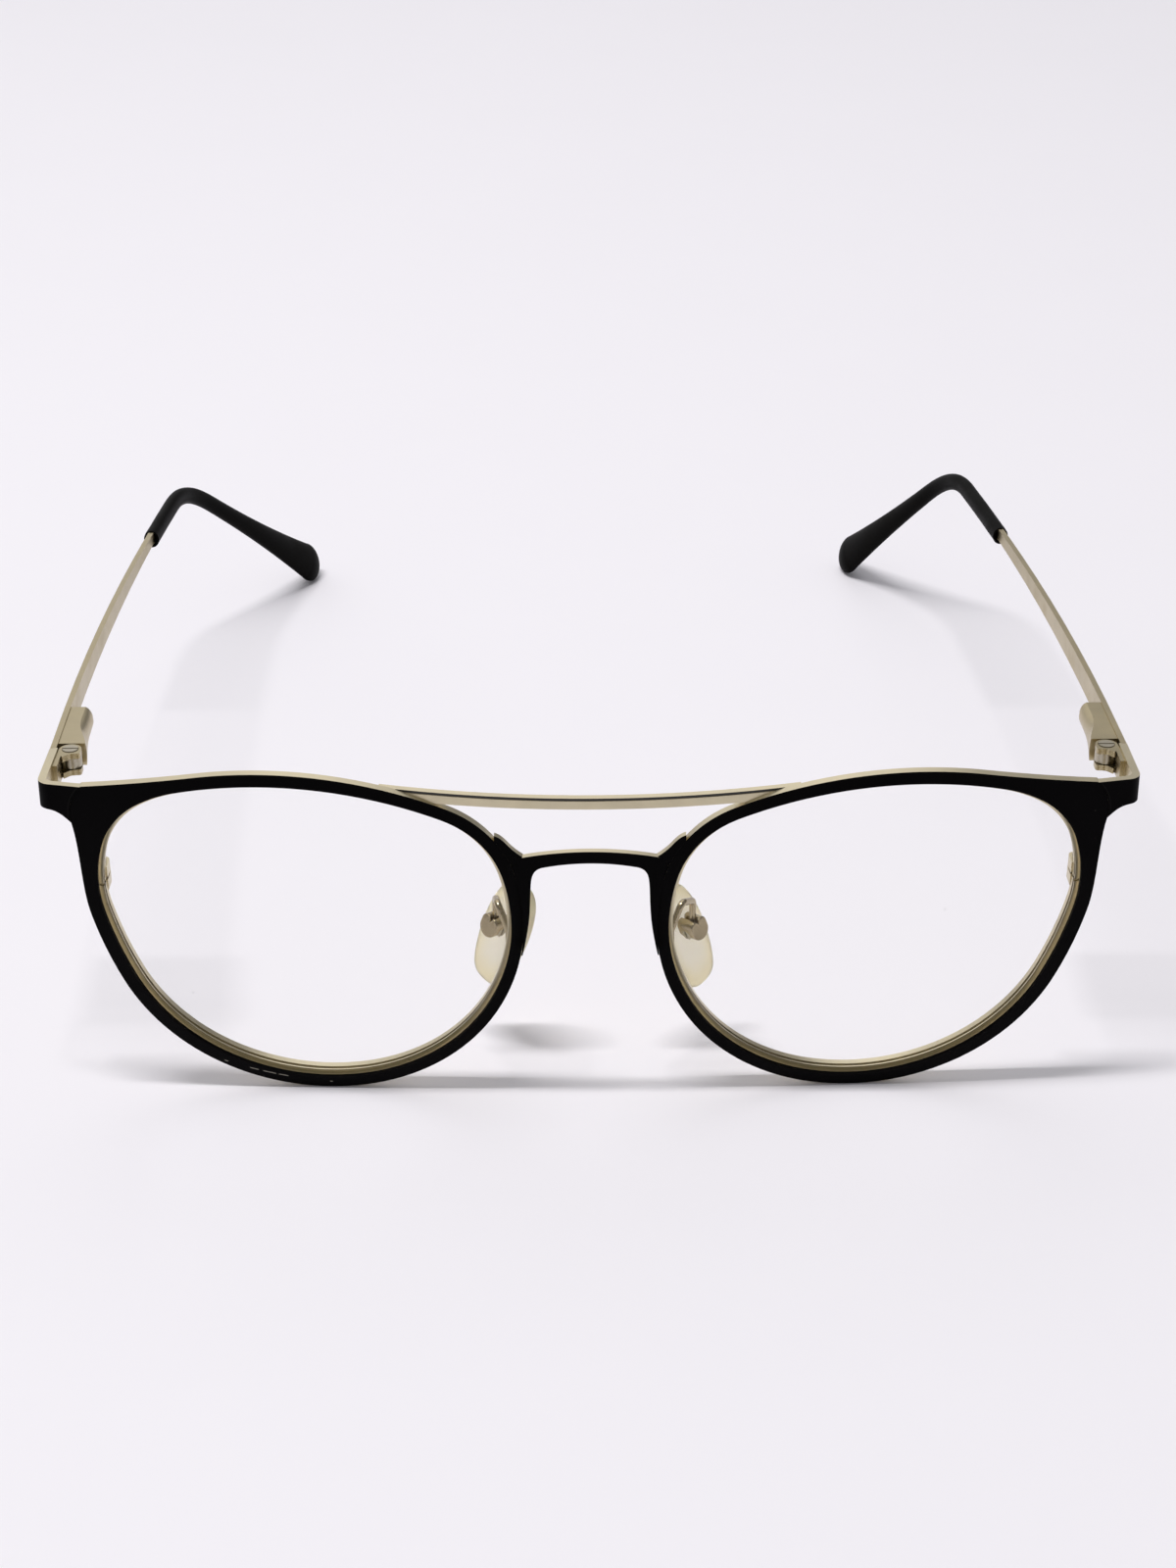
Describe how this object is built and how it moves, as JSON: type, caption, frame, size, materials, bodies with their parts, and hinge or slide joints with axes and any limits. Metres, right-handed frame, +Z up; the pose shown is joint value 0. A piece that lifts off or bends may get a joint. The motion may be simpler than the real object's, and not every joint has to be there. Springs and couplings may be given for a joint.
{
  "type": "spectacles",
  "caption": "Round metal spectacle frame with a double bridge, clear lenses, adjustable nose pads and sprung folding temples with bent sleeved tips.",
  "frame": {"origin": "middle of the whole outline seen from above, on the surface that the rims and tips stand on", "axes": "+X to the wearer's left, +Y back along the temples, +Z up; the wearer looks along -Y"},
  "size_m": [0.1354, 0.1456, 0.0473],
  "materials": {
    "black_coat": "satin black coating, bare gold coloured edges",
    "gold_plate": "pale gold plating, satin",
    "steel_screw": "plated steel",
    "spring_steel": "drawn wire",
    "clear_lens": "clear, polished",
    "black_sleeve": "satin black acetate",
    "pad_silicone": "translucent ivory silicone"
  },
  "bodies": {
    "front": {"left_rim": "black_coat", "left_eyewire": "gold_plate", "left_lens": "clear_lens", "left_closing_block_upper": "gold_plate", "left_closing_block_lower": "gold_plate", "left_closing_screw": "steel_screw", "left_end_piece": "black_coat", "left_hinge_fork": "gold_plate", "left_hinge_screw": "steel_screw", "left_pad_arm": "gold_plate", "left_pad_clip": "gold_plate", "left_pad_screw": "steel_screw", "right_rim": "black_coat", "right_eyewire": "gold_plate", "right_lens": "clear_lens", "right_closing_block_upper": "gold_plate", "right_closing_block_lower": "gold_plate", "right_closing_screw": "steel_screw", "right_end_piece": "black_coat", "right_hinge_fork": "gold_plate", "right_hinge_screw": "steel_screw", "right_pad_arm": "gold_plate", "right_pad_clip": "gold_plate", "right_pad_screw": "steel_screw", "lower_bridge": "black_coat", "upper_bar": "gold_plate"},
    "left_slider": {"left_hinge_slider": "steel_screw", "left_spring_collar": "steel_screw", "left_hinge_spring": "spring_steel"},
    "left_arm": {"left_spring_box": "gold_plate", "left_spring_bush": "steel_screw", "left_temple": "gold_plate", "left_temple_tip": "black_sleeve"},
    "left_pad": {"left_nose_pad": "pad_silicone"},
    "right_slider": {"right_hinge_slider": "steel_screw", "right_spring_collar": "steel_screw", "right_hinge_spring": "spring_steel"},
    "right_arm": {"right_spring_box": "gold_plate", "right_spring_bush": "steel_screw", "right_temple": "gold_plate", "right_temple_tip": "black_sleeve"},
    "right_pad": {"right_nose_pad": "pad_silicone"}
  },
  "joints": [
    {"name": "left_fold", "type": "hinge", "parent": "front", "child": "left_slider", "pos_m": [0.06519, -0.05658, 0.04056], "axis": [0, 0.1132, 0.9936], "range_deg": [-6, 84]},
    {"name": "left_spring_slide", "type": "slide", "parent": "left_slider", "child": "left_arm", "axis": [-0.0157, 0.9934, -0.1132], "range_m": [0, 0.0012], "stiffness_N_per_m": 3000, "springref_m": -0.0008, "deforming": ["left_hinge_spring"]},
    {"name": "left_pad_rock", "type": "hinge", "parent": "front", "child": "left_pad", "pos_m": [0.01342, -0.06324, 0.01883], "axis": [0.6588, 0.7064, 0.2588], "range_deg": [-8, 8]},
    {"name": "right_fold", "type": "hinge", "parent": "front", "child": "right_slider", "pos_m": [-0.06491, -0.05658, 0.04056], "axis": [0, -0.1132, -0.9936], "range_deg": [-5, 76]},
    {"name": "right_spring_slide", "type": "slide", "parent": "right_slider", "child": "right_arm", "axis": [-0.0157, 0.9934, -0.1132], "range_m": [0, 0.0012], "stiffness_N_per_m": 3000, "springref_m": -0.0008, "deforming": ["right_hinge_spring"]},
    {"name": "right_pad_rock", "type": "hinge", "parent": "front", "child": "right_pad", "pos_m": [-0.01194, -0.06324, 0.01943], "axis": [-0.6588, 0.7064, 0.2588], "range_deg": [-8, 8]}
  ]
}
